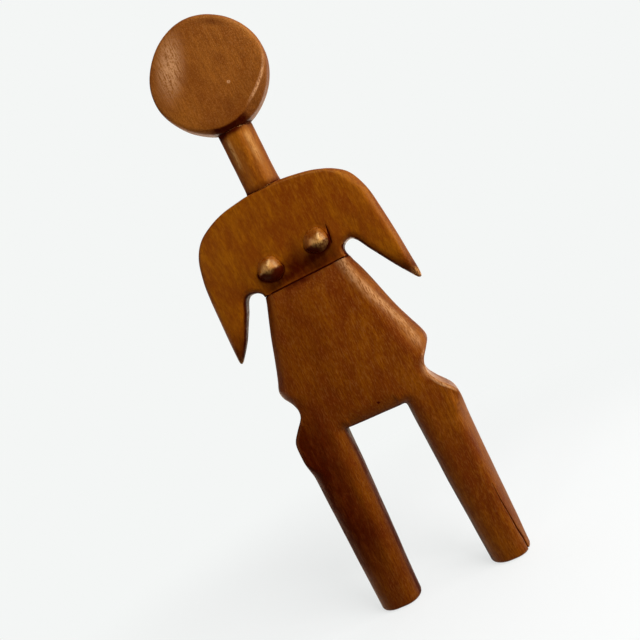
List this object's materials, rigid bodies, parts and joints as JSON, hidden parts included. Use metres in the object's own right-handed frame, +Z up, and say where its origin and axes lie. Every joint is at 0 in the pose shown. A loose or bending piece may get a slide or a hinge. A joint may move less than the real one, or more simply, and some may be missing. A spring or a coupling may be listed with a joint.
{
  "type": "wooden doll",
  "caption": "Stained wooden doll with a round flat-faced head, a thin neck, arms that taper to points, domed breasts, flared hips and straight legs.",
  "frame": {"origin": "on the floor, midway between the two feet and midway through the doll's depth", "axes": "+Z up from the feet to the head, -Y the way the doll faces, +X towards the doll's left arm"},
  "size_m": [0.0898, 0.026, 0.2722],
  "materials": {
    "stained_end_grain": "satin stain",
    "stained_wood": "satin stain",
    "bare_wood": "sanded"
  },
  "bodies": {
    "root": {"head": "stained_end_grain", "neck": "stained_wood", "shoulder_yoke": "stained_wood", "left_breast_peg": "stained_wood", "right_breast_peg": "stained_wood", "lower_body": "stained_wood", "left_dowel": "bare_wood", "right_dowel": "bare_wood"}
  },
  "joints": []
}
